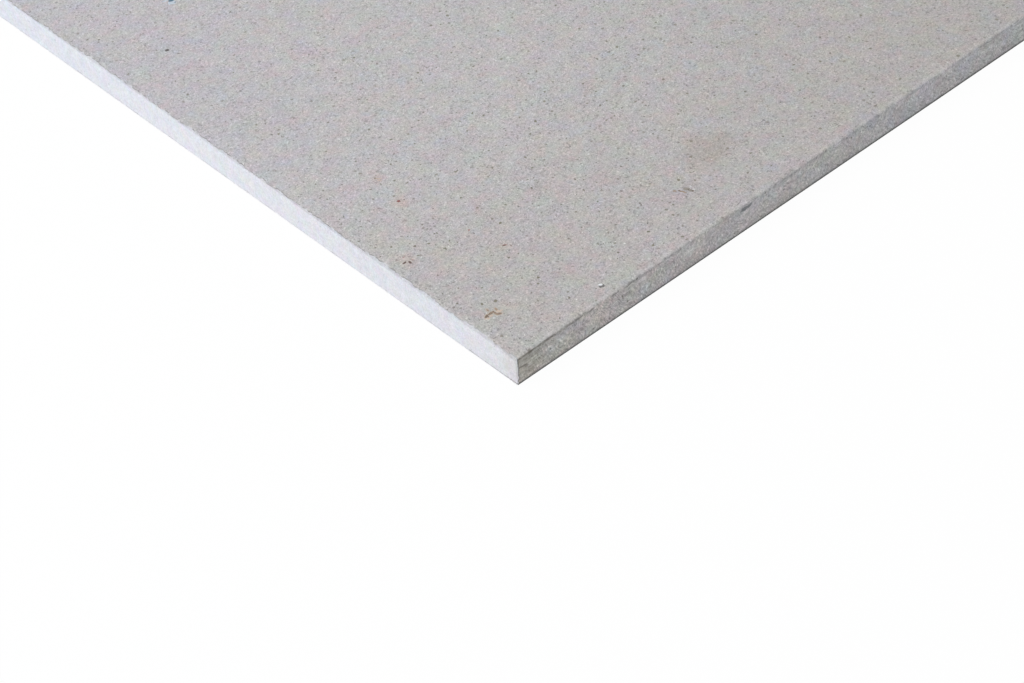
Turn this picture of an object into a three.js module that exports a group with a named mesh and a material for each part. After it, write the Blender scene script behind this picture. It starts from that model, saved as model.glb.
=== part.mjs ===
// A drywall sheet (gypsum plasterboard) with square, paper-wrapped long edges and sawn ends, lying face up.
//
// The face paper covers the top, turns down round both long edges and is folded in underneath as two flaps. The back
// paper is a plain strip glued over the flaps and the core. The board is made endless and cut across, so the two
// short ends show the bare white gypsum between the papers.
//
// Millimetres. X runs along the sheet, Y across it, Z up. The origin is the middle of the underside, on the floor.
import * as THREE from "three";

// Driving dimensions
const sheetLength = 2400;
const sheetWidth = 1200;
const sheetThickness = 12.5;
const facePaperThickness = 0.4;
const backPaperThickness = 0.4;
const shoulderRadius = 12; // the face rolls off a little just beside each long edge
const shoulderTurn = 0.1; // radians it has dipped by where the crease begins
const creaseRadius = 0.6; // outside radius of the paper where it turns down, and again where it turns in underneath
const flapWidth = 25; // how far a flap reaches in from the long edge
const backPaperSetBack = 0.2; // how far the back paper's long edges stop short of the side
const shoulderSteps = 3;
const creaseSteps = 8;

// What follows from them
const halfWidth = sheetWidth / 2;
const halfBackPaper = halfWidth - backPaperSetBack;
const flapInnerEdge = halfWidth - flapWidth;
const flapTop = backPaperThickness + facePaperThickness;

// An arc of the section, turning clockwise from one angle to another and ending on both exactly.
function arc(centre, radius, fromAngle, toAngle, steps) {
  return Array.from({ length: steps + 1 }, (_, i) => {
    const angle = fromAngle + (i / steps) * (toAngle - fromAngle);
    return new THREE.Vector2(
      centre.x + radius * Math.cos(angle),
      centre.y + radius * Math.sin(angle),
    );
  });
}

// One long edge in section, from the flat of the face round to the flat of the underside. The inset is how far in
// from the paper's outer surface it is drawn, so the core and the paper's inside come out as the same points.
function edgeOutline(inset) {
  const up = Math.PI / 2;
  const shoulderSpan = (shoulderRadius - creaseRadius) * Math.sin(shoulderTurn);
  const shoulderDip = (shoulderRadius - creaseRadius) * Math.cos(shoulderTurn);
  const creaseY = halfWidth - creaseRadius;
  const shoulderCentre = new THREE.Vector2(creaseY - shoulderSpan, sheetThickness - shoulderRadius);
  const topCreaseCentre = new THREE.Vector2(creaseY, shoulderCentre.y + shoulderDip);
  const bottomCreaseCentre = new THREE.Vector2(creaseY, backPaperThickness + creaseRadius);
  return [
    ...arc(shoulderCentre, shoulderRadius - inset, up, up - shoulderTurn, shoulderSteps),
    ...arc(topCreaseCentre, creaseRadius - inset, up - shoulderTurn, 0, creaseSteps).slice(1),
    ...arc(bottomCreaseCentre, creaseRadius - inset, 0, -up, creaseSteps),
  ];
}

// The other half of a section, as the points of this half in reverse on the opposite side.
const mirrored = (points) => points.map((p) => new THREE.Vector2(-p.x, p.y)).reverse();

// The gypsum fills the folded paper and drops between the two flaps to meet the back paper.
function coreSection() {
  const half = [
    ...edgeOutline(facePaperThickness),
    new THREE.Vector2(flapInnerEdge, flapTop),
    new THREE.Vector2(flapInnerEdge, backPaperThickness),
  ];
  return new THREE.Shape([...half, ...mirrored(half)]);
}

// The face paper is one band of even thickness, from the inner edge of one flap round to that of the other.
function facePaperSection() {
  const outside = [
    ...edgeOutline(0),
    new THREE.Vector2(flapInnerEdge, backPaperThickness),
  ];
  const inside = [
    ...edgeOutline(facePaperThickness),
    new THREE.Vector2(flapInnerEdge, flapTop),
  ];
  return new THREE.Shape([
    ...outside,
    ...[...inside].reverse(),
    ...mirrored([...inside].reverse()),
    ...mirrored(outside),
  ]);
}

// The back paper is a plain strip under the core and the flaps, trimmed just short of the side.
function backPaperSection() {
  return new THREE.Shape([
    new THREE.Vector2(-halfBackPaper, 0),
    new THREE.Vector2(halfBackPaper, 0),
    new THREE.Vector2(halfBackPaper, backPaperThickness),
    new THREE.Vector2(-halfBackPaper, backPaperThickness),
  ]);
}

// Runs a section the whole length of the sheet. The section's own x and y become the sheet's Y and Z.
const sectionToSheet = new THREE.Matrix4().makeBasis(
  new THREE.Vector3(0, 1, 0),
  new THREE.Vector3(0, 0, 1),
  new THREE.Vector3(1, 0, 0),
);

function alongSheet(name, section, color, roughness) {
  const geometry = new THREE.ExtrudeGeometry(section, { depth: sheetLength, bevelEnabled: false });
  geometry.applyMatrix4(sectionToSheet);
  const material = new THREE.MeshStandardMaterial({ color, roughness, metalness: 0 });
  const mesh = new THREE.Mesh(geometry, material);
  mesh.name = name;
  mesh.position.x = -sheetLength / 2;
  return mesh;
}

const sheet = new THREE.Group();
sheet.add(
  alongSheet("gypsum_core", coreSection(), 0xe6e8ec, 0.95),
  alongSheet("face_paper", facePaperSection(), 0xb8b6b5, 0.9),
  alongSheet("back_paper", backPaperSection(), 0xa8a3a1, 0.9),
);

export default sheet;
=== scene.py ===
# %% [markdown]
# # Dressing a drywall sheet
#
# A drywall sheet is a slab of white gypsum between two sheets of grey recycled paper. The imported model
# already holds its three solids at their real size: the core, the face paper that wraps the long edges, and
# the back paper. What it lacks is what a hand or an eye would notice close up: the frayed paper along a
# sawn end, the crinkled paper on a wrapped edge, the crumbly cut gypsum, and the flecks and tints of waste
# paper in the grey. This notebook models those as geometry where they change the outline, and as procedural
# finishes where they don't.

import math

import bmesh
import bpy
import numpy as np
from mathutils import Matrix, Vector


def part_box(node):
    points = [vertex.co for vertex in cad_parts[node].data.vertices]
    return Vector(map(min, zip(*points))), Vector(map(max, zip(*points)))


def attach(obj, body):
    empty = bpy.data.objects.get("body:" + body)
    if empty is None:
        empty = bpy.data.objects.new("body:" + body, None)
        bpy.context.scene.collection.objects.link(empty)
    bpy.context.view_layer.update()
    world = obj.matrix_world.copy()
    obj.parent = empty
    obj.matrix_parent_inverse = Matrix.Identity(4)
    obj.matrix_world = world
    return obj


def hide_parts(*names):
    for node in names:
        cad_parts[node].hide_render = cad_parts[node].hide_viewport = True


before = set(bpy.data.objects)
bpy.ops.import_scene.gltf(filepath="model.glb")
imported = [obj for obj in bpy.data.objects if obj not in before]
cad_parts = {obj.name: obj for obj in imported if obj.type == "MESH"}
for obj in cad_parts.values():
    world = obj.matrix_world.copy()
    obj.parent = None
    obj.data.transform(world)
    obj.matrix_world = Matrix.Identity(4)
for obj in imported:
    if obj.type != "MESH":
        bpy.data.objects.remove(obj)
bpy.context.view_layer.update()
MM = 0.001
print("nodes:", sorted(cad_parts))

# %% [markdown]
# ## Sizes
#
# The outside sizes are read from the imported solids, so that the looks can never drift away from them. The
# shape of the wrapped edge in section can't be read from a box, so its few radii are repeated here, and the
# centres of its arcs follow from them. All of the modelling is in millimetres, and a mesh is turned into
# metres as it is made.

# %% Read the sizes from the frame
face_low, face_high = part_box("face_paper")
core_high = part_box("gypsum_core")[1]
back_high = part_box("back_paper")[1]

half_length = face_high.x / MM
half_width = face_high.y / MM
face_level = face_high.z / MM
flap_level = face_low.z / MM
half_core = core_high.y / MM
half_back_paper = back_high.y / MM
paper_thickness = half_width - half_core
print(f"sheet {2 * half_length:.0f} x {2 * half_width:.0f} x {face_level:.1f} mm")
print(f"paper {paper_thickness:.2f} mm thick")

# %% Repeat the radii of the wrapped edge
shoulder_radius = 12.0
shoulder_turn = 0.1
crease_radius = 0.6
flap_width = 25.0

between_centres = shoulder_radius - crease_radius
crease_y = half_width - crease_radius
shoulder_y = crease_y - between_centres * math.sin(shoulder_turn)
shoulder_z = face_level - shoulder_radius
crease_z = shoulder_z + between_centres * math.cos(shoulder_turn)
fold_y = crease_y
fold_z = flap_level + crease_radius
flap_edge = half_width - flap_width
print(f"the face is flat out to {shoulder_y:.1f} mm")
print(f"the side stands from {fold_z:.1f} to {crease_z:.1f} mm")

# %% [markdown]
# ## The camera
#
# The sheet lies flat and is far larger than the view. The camera stands off one corner and looks down on
# it, so that a sawn end runs away to the left and a wrapped long edge to the right. Its place is written
# from that corner.

# %% Place the camera
lens_length = 105.0
look_down = math.radians(42.91)
look_towards = math.radians(50.765)  # turned from +X towards +Y
roll = math.radians(-4.783)
camera_from_corner = Vector((-460.64, -562.81, 696.59))

near_corner = Vector((-half_length, -half_width, 0))
forward = Vector((
    math.cos(look_towards) * math.cos(look_down),
    math.sin(look_towards) * math.cos(look_down),
    -math.sin(look_down),
))
level_right = Vector((math.sin(look_towards), -math.cos(look_towards), 0))
level_up = level_right.cross(forward)
right = math.cos(roll) * level_right + math.sin(roll) * level_up
up = -math.sin(roll) * level_right + math.cos(roll) * level_up

camera_data = bpy.data.cameras.new("camera")
camera_data.sensor_width = 36
camera_data.lens = lens_length
camera_data.clip_start = 0.01
camera = bpy.data.objects.new("camera", camera_data)
camera.matrix_world = Matrix.LocRotScale(
    (near_corner + camera_from_corner) * MM,
    Matrix((right, up, -forward)).transposed(),
    None,
)
bpy.context.scene.collection.objects.link(camera)
bpy.context.scene.camera = camera
print(f"camera at {tuple(round(v, 3) for v in camera.location)} m, lens {camera_data.lens:.1f} mm")

# %% [markdown]
# ## Writing a finish as sums
#
# A finish is a network of shader nodes. Wired by hand it soon becomes a maze, so two small helpers let it
# be written as Python sums instead. `Value` wraps one output of a node, and adding or multiplying values
# adds the Math nodes that do it. `Finish` owns the material, adds every other node through one method, and
# keeps the colour so far, so that each layer is laid over what is there already. A colour is written as
# three numbers.

# %% Helpers for finishes
class Value:
    """A number that varies over a surface: one output of a shader node, on which sums can be written."""

    def __init__(self, finish, socket):
        self.finish = finish
        self.socket = socket

    def maths(self, operation, *operands):
        inputs = dict(enumerate(operands))
        return self.finish.add("ShaderNodeMath", {"operation": operation}, inputs)

    def __add__(self, other):
        return self.maths("ADD", self, other)

    def __sub__(self, other):
        return self.maths("SUBTRACT", self, other)

    def __rsub__(self, other):
        return self.maths("SUBTRACT", other, self)

    def __mul__(self, other):
        return self.maths("MULTIPLY", self, other)

    def __pow__(self, other):
        return self.maths("POWER", self, other)

    __radd__ = __add__
    __rmul__ = __mul__

    def __abs__(self):
        return self.maths("ABSOLUTE", self)

    def beside(self, output):
        """Another output of the same node."""
        return Value(self.finish, self.socket.node.outputs[output])

    def between(self, start, stop):
        """0 where the value is at start, 1 where it is at stop, and a smooth step between them."""
        inputs = {"Value": self, "From Min": start, "From Max": stop}
        return self.finish.add("ShaderNodeMapRange", {"interpolation_type": "SMOOTHSTEP"}, inputs)


class Finish:
    """A material, and the one way to add nodes to it."""

    def __init__(self, name, roughness):
        self.material = bpy.data.materials.new(name)
        self.material.use_nodes = True
        self.tree = self.material.node_tree
        self.surface = self.tree.nodes["Principled BSDF"]
        self.surface.inputs["Roughness"].default_value = roughness
        metres = self.add("ShaderNodeTexCoord", output="Object")
        self.place = self.scaled(metres, 1 / MM)
        self.colour = None

    def find(self, sockets, key):
        """A socket by its place in the list, its identifier or its name."""
        if isinstance(key, int):
            return sockets[key]
        return next((s for s in sockets if s.identifier == key), None) or sockets[key]

    def add(self, kind, settings=None, inputs=None, output=0):
        node = self.tree.nodes.new(kind)
        for name, setting in (settings or {}).items():
            setattr(node, name, setting)
        for key, given in (inputs or {}).items():
            self.feed(self.find(node.inputs, key), given)
        return Value(self, self.find(node.outputs, output))

    def feed(self, socket, given):
        if isinstance(given, Value):
            self.tree.links.new(given.socket, socket)
        elif socket.type == "RGBA":
            socket.default_value = (*given, 1)
        else:
            socket.default_value = given

    def axis(self, letter):
        """How far along one axis of the sheet, in millimetres."""
        return self.add("ShaderNodeSeparateXYZ", inputs={0: self.place}, output=letter)

    def joined(self, x, y, z):
        """A place made up of three values."""
        return self.add("ShaderNodeCombineXYZ", inputs={0: x, 1: y, 2: z})

    def channel(self, colour, name):
        return self.add("ShaderNodeSeparateColor", inputs={0: colour}, output=name)

    def scaled(self, vector, by):
        return self.add("ShaderNodeVectorMath", {"operation": "SCALE"}, {0: vector, "Scale": by})

    def moved(self, vector, by):
        return self.add("ShaderNodeVectorMath", {"operation": "ADD"}, {0: vector, 1: by})

    def shifted(self, place, seed):
        """The same place moved far off, so that two layers of one kind don't fall together."""
        return self.moved(place, (17.3 * seed, -31.7 * seed, 11.9 * seed))

    def noise(self, size, detail=0.0, seed=0.0, place=None, output=0):
        """Soft random values around 0.5, with lumps about size millimetres wide."""
        inputs = {"Vector": self.shifted(place or self.place, seed), "Scale": 1 / size, "Detail": detail}
        return self.add("ShaderNodeTexNoise", {"noise_dimensions": "3D"}, inputs, output)

    def cells(self, spacing, seed=0.0, bent=0.0):
        """The distance to the nearest of many scattered points, in spacings, with bent outlines."""
        wobble = self.scaled(self.noise(0.5 * spacing, seed=seed + 0.5, output="Color"), bent * spacing)
        place = self.moved(self.shifted(self.place, seed), wobble)
        return self.add("ShaderNodeTexVoronoi", inputs={"Vector": place, "Scale": 1 / spacing})

    def mix(self, share, first, second, blend_type="MIX"):
        """Two colours mixed by a share of the second."""
        settings = {"data_type": "RGBA", "blend_type": blend_type}
        inputs = {"Factor_Float": share, "A_Color": first, "B_Color": second}
        return self.add("ShaderNodeMix", settings, inputs, "Result_Color")

    def over(self, share, colour):
        """Lays a colour over the colour so far, as much as share says."""
        self.colour = self.mix(share, self.colour, colour)

    def tint(self, share, colour):
        """Multiplies the colour so far by another, as much as share says."""
        self.colour = self.mix(share, self.colour, colour, "MULTIPLY")

    def paint(self):
        """Gives the surface the colour so far."""
        self.feed(self.surface.inputs["Base Color"], self.colour)

    def relief(self, height, depth):
        """Raises and sinks the surface by up to depth millimetres where height goes from 0 to 1."""
        inputs = {"Strength": 1.0, "Distance": depth * MM, "Height": height}
        self.feed(self.surface.inputs["Normal"], self.add("ShaderNodeBump", inputs=inputs))

    def report(self):
        print(f"{self.material.name}: {len(self.tree.nodes)} nodes so far")


def from_edges(finish):
    """How far a place lies from the nearer sawn end and from the nearer long edge."""
    return half_length - abs(finish.axis("X")), half_width - abs(finish.axis("Y"))


def grey(level):
    return (level, level, level)

# %% [markdown]
# ## The light and the floor
#
# A soft studio: a large cool lamp high on the camera's left, which the sawn end faces, a wide fainter one
# overhead that keeps the far end of a long sheet from going dark, and an even grey surround. The floor is
# pale. What the camera sees of it is mostly a white of strength 1, so the ground reads as white and still
# takes a soft shadow.

# %% Light the sheet
def lamp(name, place, aim, size, power, colour):
    data = bpy.data.lights.new(name, "AREA")
    data.shape = "SQUARE"
    data.size = size
    data.energy = power
    data.color = colour
    thing = bpy.data.objects.new(name, data)
    thing.location = place
    thing.rotation_euler = (Vector(aim) - Vector(place)).to_track_quat("-Z", "Y").to_euler()
    bpy.context.scene.collection.objects.link(thing)
    print(f"{name}: {power} W, {size} m wide")


corner = near_corner * MM
lamp(
    "key_lamp", corner + Vector((-0.54, 0.5, 0.95)), corner + Vector((0.1, 0.1, 0)),
    size=0.7, power=7.5, colour=(0.935, 0.95, 1.0),
)
lamp(
    "fill_lamp", corner + Vector((0.8, -1.8, 1.0)), corner + Vector((0.2, 0, 0)),
    size=1.0, power=5.3, colour=(0.86, 0.93, 1.0),
)
lamp("overhead_lamp", (0.6, 0.1, 3.2), (0.3, 0, 0), size=3.0, power=4.8, colour=grey(1.0))

world = bpy.data.worlds.new("surround")
bpy.context.scene.world = world
world.use_nodes = True
surround = world.node_tree.nodes["Background"]
surround.inputs["Strength"].default_value = 0.55
surround.inputs["Color"].default_value = (0.965, 1.0, 0.985, 1)
bpy.context.scene.view_settings.view_transform = "Standard"

# %% Lay the floor
floor_size = 40.0
floor_shows_white = 0.97
below_sheet = 0.0002  # just clear of the sheet, so that the two surfaces don't fall together

floor_mesh = bpy.data.meshes.new("floor")
reach = floor_size / 2
floor_corners = [(-reach, -reach, 0), (reach, -reach, 0), (reach, reach, 0), (-reach, reach, 0)]
floor_mesh.from_pydata(floor_corners, [], [(0, 1, 2, 3)])
floor = bpy.data.objects.new("floor", floor_mesh)
floor.location.z = -below_sheet
bpy.context.scene.collection.objects.link(floor)

floor_finish = Finish("pale_floor", roughness=0.9)
floor_finish.colour = grey(0.9)
floor_finish.paint()
seen = floor_finish.add("ShaderNodeLightPath", output="Is Camera Ray")
mirrored_ray = floor_finish.add("ShaderNodeLightPath", output="Is Glossy Ray")
passed_ray = floor_finish.add("ShaderNodeLightPath", output="Is Transmission Ray")
white = floor_finish.add("ShaderNodeEmission", inputs={"Color": grey(1), "Strength": 1.0})
lit = Value(floor_finish, floor_finish.surface.outputs[0])
share = (seen + mirrored_ray + passed_ray) * floor_shows_white
shown = floor_finish.add("ShaderNodeMixShader", inputs={0: share, 1: lit, 2: white})
floor_finish.feed(floor_finish.tree.nodes["Material Output"].inputs["Surface"], shown)
floor_mesh.materials.append(floor_finish.material)
print(f"floor {floor_size:.0f} m wide, and {floor_shows_white:.0%} plain white to the camera")

# %% [markdown]
# ## Uneven, and the same every time
#
# Torn paper and crumbled gypsum are uneven at several sizes at once. A modifier with a cloud texture could
# do it, but the edges here need different amounts in different places, so the unevenness is a small
# function that can be added, multiplied and faded like any number. Its random values come from the place
# alone, so every run is alike.

# %% Soft unevenness
def scatter(column, row, seed):
    return np.modf(np.abs(np.sin(column * 127.1 + row * 311.7 + seed * 74.7) * 43758.5453))[0]


def unevenness(along, across, size, seed=0):
    """Soft random values from 0 to 1 over a surface, in lumps about size millimetres wide."""
    u, v = np.asarray(along) / size, np.asarray(across) / size
    column, row = np.floor(u), np.floor(v)
    u, v = u - column, v - row
    u, v = u * u * (3 - 2 * u), v * v * (3 - 2 * v)
    near = scatter(column, row, seed) * (1 - u) + scatter(column + 1, row, seed) * u
    far = scatter(column, row + 1, seed) * (1 - u) + scatter(column + 1, row + 1, seed) * u
    return near * (1 - v) + far * v


def fade(distance, reach):
    """1 at no distance, falling softly towards 0 beyond the reach."""
    return np.exp(-np.square(np.asarray(distance) / reach))


print("unevenness at three places:", np.round(unevenness([0.3, 1.7, 9.2], [2.2, 0.1, 5.5], 2.0), 3))

# %% [markdown]
# ## The knocked corners
#
# A sheet is carried and stood on its corners, so they are the first to go: the gypsum crushes and the paper
# follows it down and in. A lattice could bend the finished pieces, but all of them have to move as one. So
# every point of every piece passes through one function, which does nothing away from the four top corners.

# %% Knock the corners down
knock_down = 0.9
knock_in = 0.3
down_along, down_across = 16, 7  # how far along and across the sheet the pressing down reaches
in_along, in_across = 10.5, 9  # and how far the pressing in does


def soft_step(value, start, stop):
    """0 where the value is at start, 1 where it is at stop, and a smooth step between them."""
    share = np.clip((value - start) / (stop - start), 0, 1)
    return share * share * (3 - 2 * share)


def blunted(points):
    """The same points with the four top corners of the sheet pressed down and inwards, as if knocked."""
    x, y, z = points.T
    from_end, from_side = half_length - np.abs(x), half_width - np.abs(y)
    down = soft_step(from_end, down_along, 0) * soft_step(from_side, down_across, 0) * soft_step(z, 5, 12)
    inwards = soft_step(from_end, in_along, 0) * soft_step(from_side, in_across, 0) * soft_step(z, 0.5, 9)
    return np.stack([x, y - np.sign(y) * knock_in * inwards, z - knock_down * down], axis=1)


def before_knock(finish):
    """How far in from the side and how high a place was before the knock, close enough for painting."""
    from_end, from_side = from_edges(finish)
    height = finish.axis("Z")
    out = knock_in * from_end.between(in_along, 0) * from_side.between(in_across, 0)
    up = knock_down * from_end.between(down_along, 0) * from_side.between(down_across, 0)
    return from_side - out * height.between(0.5, 8.5), height + up * height.between(4.4, 10.9)


tip = np.array([(half_length, half_width, face_level)])
print("a corner is pressed to", np.round(blunted(tip), 2), "mm")

# %% [markdown]
# ## Laying out a skin
#
# The surfaces of a sheet are huge and plain in the middle and full of small damage along the rims. One fine
# grid would need millions of faces. So each skin is laid out as chains of points: close together at a rim,
# wide apart further in. Chains of equal number are woven into quads, and unequal ones are zipped together
# with triangles.

# %% A skin of points and faces
class Skin:
    """The points and faces of one piece, in millimetres."""

    def __init__(self):
        self.points = []
        self.faces = []
        self.slots = []
        self.count = 0

    def lay(self, x, y, z):
        """Adds points and returns their numbers in the same arrangement."""
        x, y, z = np.broadcast_arrays(x, y, z)
        numbers = self.count + np.arange(x.size).reshape(x.shape)
        self.points.append(np.stack([x.ravel(), y.ravel(), z.ravel()], axis=1))
        self.count += x.size
        return numbers

    def add_faces(self, faces, slot):
        self.faces += faces
        self.slots += [slot] * len(faces)

    def weave(self, rows, slot=0):
        """Quads between neighbouring chains with the same number of points."""
        rows = np.asarray(rows)
        quads = np.stack([rows[:-1, :-1], rows[1:, :-1], rows[1:, 1:], rows[:-1, 1:]], axis=-1)
        self.add_faces(quads.reshape(-1, 4).tolist(), slot)

    def zip(self, chain, other, slot=0):
        """Triangles between two chains with different numbers of points."""
        where = np.concatenate(self.points)
        steps = [np.linalg.norm(np.diff(where[c], axis=0), axis=1) for c in (chain, other)]
        first, second = [np.concatenate([[0], np.cumsum(s)]) / s.sum() for s in steps]
        triangles = []
        i = j = 0
        while i < len(chain) - 1 or j < len(other) - 1:
            along_first = j == len(other) - 1 or (i < len(chain) - 1 and first[i + 1] <= second[j + 1])
            if along_first:
                triangles.append([int(chain[i]), int(chain[i + 1]), int(other[j])])
                i += 1
            else:
                triangles.append([int(chain[i]), int(other[j + 1]), int(other[j])])
                j += 1
        self.add_faces(triangles, slot)

    def make(self, name, materials):
        """A closed object in metres with its faces turned outwards."""
        mesh = bpy.data.meshes.new(name)
        mesh.from_pydata((blunted(np.concatenate(self.points)) * MM).tolist(), [], self.faces)
        mesh.polygons.foreach_set("material_index", self.slots)
        mesh.polygons.foreach_set("use_smooth", [True] * len(self.faces))
        shape = bmesh.new()
        shape.from_mesh(mesh)
        bmesh.ops.recalc_face_normals(shape, faces=shape.faces)
        loose = sum(not edge.is_manifold for edge in shape.edges)
        shape.to_mesh(mesh)
        shape.free()
        mesh.set_sharp_from_angle(angle=math.radians(50))
        for material in materials:
            mesh.materials.append(material)
        piece = bpy.data.objects.new(name, mesh)
        bpy.context.scene.collection.objects.link(piece)
        mesh.calc_loop_triangles()
        print(f"{name}: {len(mesh.loop_triangles)} triangles, {loose} open edges")
        return piece

# %% [markdown]
# ## The wrapped edge in section
#
# Face paper is wider than the board. It rolls off a gentle shoulder, turns down round a tight crease, runs
# down the side, turns in under the board and is glued there as a flap. A swept curve could carry this
# section, but every point needs its own outward direction, along which damage can press it in, so the arcs
# are worked out as points.

# %% Points round a wrapped edge
def arc(centre, radius, start, stop, steps):
    """Points along an arc and their outward directions, without the first one."""
    outward = [(math.cos(turn), math.sin(turn)) for turn in np.linspace(start, stop, steps + 1)[1:]]
    return np.array(centre) + radius * np.array(outward), np.array(outward)


def straight(y, z, outward):
    """Points along a straight stretch and their outward directions, which are all alike."""
    points = np.stack(np.broadcast_arrays(y, z), axis=1)
    return points, np.tile(outward, (len(points), 1))


def wrapped_edge(inset, shoulder_steps=3, crease_steps=7, side_steps=16, fold_steps=5, flap_steps=3):
    """One long edge, from the flat of the face to its flap's inner edge: points and outward directions."""
    upright = math.pi / 2
    leaning = upright - shoulder_turn
    begin = straight([shoulder_y], face_level - inset, (0.0, 1.0))
    shoulder = arc((shoulder_y, shoulder_z), shoulder_radius - inset, upright, leaning, shoulder_steps)
    crease = arc((crease_y, crease_z), crease_radius - inset, leaning, 0, crease_steps)
    side = straight(half_width - inset, np.linspace(crease_z, fold_z, side_steps + 1)[1:], (1.0, 0.0))
    fold = arc((fold_y, fold_z), crease_radius - inset, 0, -upright, fold_steps)
    flap = straight(np.linspace(fold_y, flap_edge, flap_steps + 1)[1:], flap_level + inset, (0.0, -1.0))
    parts = [begin, shoulder, crease, side, fold, flap]
    return np.concatenate([p[0] for p in parts]), np.concatenate([p[1] for p in parts])


edge_points, edge_outward = wrapped_edge(0)
edge_inside, _ = wrapped_edge(paper_thickness)
edge_count = len(edge_points)
round_edge = np.concatenate([[0], np.cumsum(np.linalg.norm(np.diff(edge_points, axis=0), axis=1))])
crest_at = shoulder_radius * shoulder_turn + 0.5 * crease_radius * math.pi / 2
fold_at = crest_at + crease_z - fold_z + crease_radius
print(f"{edge_count} points round an edge, over {round_edge[-1]:.1f} mm of paper")

# %% [markdown]
# ## Wear on the wrapped edge
#
# The paper on a long edge is glued wet over soft gypsum, and later it is knocked. So its crest wanders, its
# side has shallow dents, and towards a sawn end it is crumpled. All of it presses the paper in and none of
# it stands out, which keeps the sheet to its size. It never goes as deep as the paper is thick, so the
# gypsum can't show through.

# %% How deep the paper is pressed in
finely_worn_length = 300.0  # the fine wear is only laid out this far from a sawn end
full_depth_from = 8.0  # nearer to a sawn end than this, the paper has no room behind it
spare_depth = 0.9
glue_gap = 0.03


def pressed_in(x, rounding):
    """How far the outer surface is pressed in, at x along the sheet and rounding past the flat face."""
    from_end = half_length - np.abs(x)
    fine = soft_step(finely_worn_length - from_end, 0, 20)
    crest = fade(rounding - crest_at, 0.7)
    side = soft_step(rounding, crest_at + 0.5, crest_at + 2)
    side = side * soft_step(rounding, fold_at + 0.2, fold_at - 1.5)
    depth = glue_gap + crest * fine * 0.16 * unevenness(x, rounding, 1.5, seed=3) ** 2
    shallow = 0.13 * unevenness(x, rounding * 0.6, 3.4, seed=5) + 0.07 * unevenness(x, rounding, 1.4, seed=8)
    depth = depth + side * (0.09 * unevenness(x, rounding, 11, seed=4) + fine * shallow)
    crumple = crest * 0.20 * unevenness(x, rounding, 1.9, seed=6)
    crumple = crumple + side * 0.14 * unevenness(x + rounding, rounding, 2.6, seed=7)
    groove = fade(rounding - crest_at - 1.3, 0.55) * soft_step(from_end, 28, 6)
    depth = depth + fade(from_end, 9) * fine * crumple + 0.30 * groove * unevenness(x, 0, 6.5, seed=9)
    return np.clip(depth, 0, 0.9 * paper_thickness)


def crest_wander(x):
    """How far the whole crest has sagged at a place along the sheet: inwards, and down."""
    from_end = half_length - np.abs(x)
    fine = soft_step(finely_worn_length - from_end, 0, 20)
    room = soft_step(from_end, 1, full_depth_from)
    inwards = 0.04 * unevenness(x, 0, 19, seed=31) + fine * 0.09 * unevenness(x, 0, 4.9, seed=32)
    down = 0.12 * unevenness(x, 0, 15, seed=33) + fine * 0.22 * unevenness(x, 0, 4.3, seed=34)
    return room * inwards, room * down


def worn(x, y, z, towards_y, towards_z, rounding):
    """Points of the outer surface after wear, from where they lie on a new sheet and which way they face."""
    depth = pressed_in(x, rounding)
    inwards, down = crest_wander(x)
    up_to_crest = soft_step(rounding, crest_at - 1.0, crest_at)
    inwards = inwards * up_to_crest * soft_step(rounding, crest_at + 3, crest_at)
    down = down * up_to_crest * soft_step(rounding, crest_at + 2, crest_at)
    return y - towards_y * depth - np.sign(y) * inwards, z - towards_z * depth - down


sampled = -half_length + np.array([2.0, 10, 50, 200, 900])
print("pressed in along the crest:", np.round(pressed_in(sampled, crest_at), 2), "mm")

# %% [markdown]
# ## The sawn rim of the paper
#
# Where the sheet is cut across, the paper isn't cut as clean as the gypsum. It is torn back a fraction of a
# millimetre, more in some places than others, and at the corners a little more is gone. The rim is a chain
# of points along the whole paper, each set back from the cut by its own small amount.

# %% How far the paper is torn back
def torn_back(run, y):
    """How far the paper's rim is set back from the sawn end, for points that lie at run along the paper."""
    to_corner = half_width - np.abs(y)
    amount = 0.02 + 0.50 * unevenness(run, 0, 1.5, seed=11) ** 2 + 0.28 * unevenness(run, 0, 0.66, seed=12)
    amount = amount + 0.32 * soft_step(unevenness(run, 0, 7.3, seed=17), 0.45, 0.62)
    bites = soft_step(unevenness(run, 0, 4.4, seed=13), 0.58, 0.72) * (0.55 + 0.45 * fade(to_corner, 160))
    amount = amount + bites * (0.25 + 1.0 * unevenness(run, 0, 1.1, seed=16))
    amount = amount + fade(to_corner, 3) * 0.35 * unevenness(run, 0, 1.2, seed=14)
    amount = amount + fade(to_corner - 1, 8) * 0.9 * unevenness(run, 0, 1.7, seed=18) ** 2
    return np.clip(amount, 0.03, 1.4)


fine_top = np.arange(-shoulder_y, -half_width + 320, 0.42)
coarse_top = np.linspace(fine_top[-1], shoulder_y, 500)[1:]
top_y = np.concatenate([fine_top, coarse_top])[1:-1]


def right_across(edge, top, mirror=1):
    """Values for the whole band: one edge in reverse, the flat top, and the other edge."""
    return np.concatenate([mirror * edge[::-1], np.broadcast_to(top, top_y.shape), edge])


band_y = right_across(edge_points[:, 0], top_y, mirror=-1)
band_z = right_across(edge_points[:, 1], face_level)
out_y = right_across(edge_outward[:, 0], 0, mirror=-1)
out_z = right_across(edge_outward[:, 1], 1)
inside_y = right_across(edge_inside[:, 0], top_y, mirror=-1)
inside_z = right_across(edge_inside[:, 1], face_level - paper_thickness)
rounding = right_across(round_edge, np.abs(top_y) - shoulder_y)
run = np.concatenate([[0], np.cumsum(np.hypot(np.diff(band_y), np.diff(band_z)))])
print(f"{len(run)} points across the paper at a sawn end, {run[-1]:.0f} mm of paper")

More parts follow.
